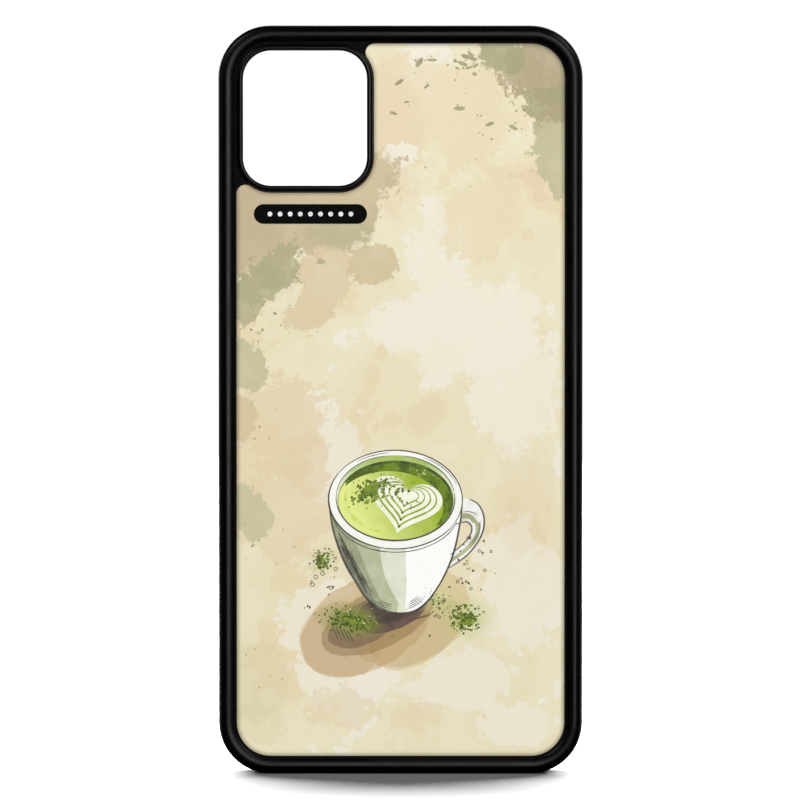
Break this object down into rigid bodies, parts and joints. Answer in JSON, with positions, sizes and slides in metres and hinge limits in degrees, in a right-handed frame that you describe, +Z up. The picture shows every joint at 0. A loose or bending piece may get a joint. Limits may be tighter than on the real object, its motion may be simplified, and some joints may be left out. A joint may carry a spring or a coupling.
{
  "type": "phone case",
  "caption": "Printed phone case: soft black frame round a hard back with a metal picture panel, raised camera window, side keys and open screen side.",
  "frame": {"origin": "middle of the bottom edge face, midway through the case's depth, with the case standing upright", "axes": "+Z up the length, towards the camera end; +Y out of the open screen side; the printed back faces -Y"},
  "size_m": [0.0756, 0.012, 0.1555],
  "materials": {
    "soft_frame": "satin",
    "tray_plastic": "matte",
    "adhesive": "matte",
    "panel_metal": "satin",
    "print": "gloss",
    "badge": "gloss",
    "key_plastic": "satin"
  },
  "bodies": {
    "case": {"bumper_frame": "soft_frame", "back_tray": "tray_plastic", "adhesive_sheet": "adhesive", "aluminium_panel": "panel_metal", "print_film": "print", "badge_label": "badge"},
    "side_key": {"side_key": "key_plastic"},
    "volume_up_key": {"volume_up_key": "key_plastic"},
    "volume_down_key": {"volume_down_key": "key_plastic"}
  },
  "joints": [
    {"name": "side_key_press", "type": "slide", "parent": "case", "child": "side_key", "axis": [1, 0, 0], "range_m": [0, 0.0005], "stiffness_N_per_m": 800, "springref_m": -0.0005},
    {"name": "volume_up_key_press", "type": "slide", "parent": "case", "child": "volume_up_key", "axis": [-1, 0, 0], "range_m": [0, 0.0005], "stiffness_N_per_m": 800, "springref_m": -0.0005},
    {"name": "volume_down_key_press", "type": "slide", "parent": "case", "child": "volume_down_key", "axis": [-1, 0, 0], "range_m": [0, 0.0005], "stiffness_N_per_m": 800, "springref_m": -0.0005}
  ]
}
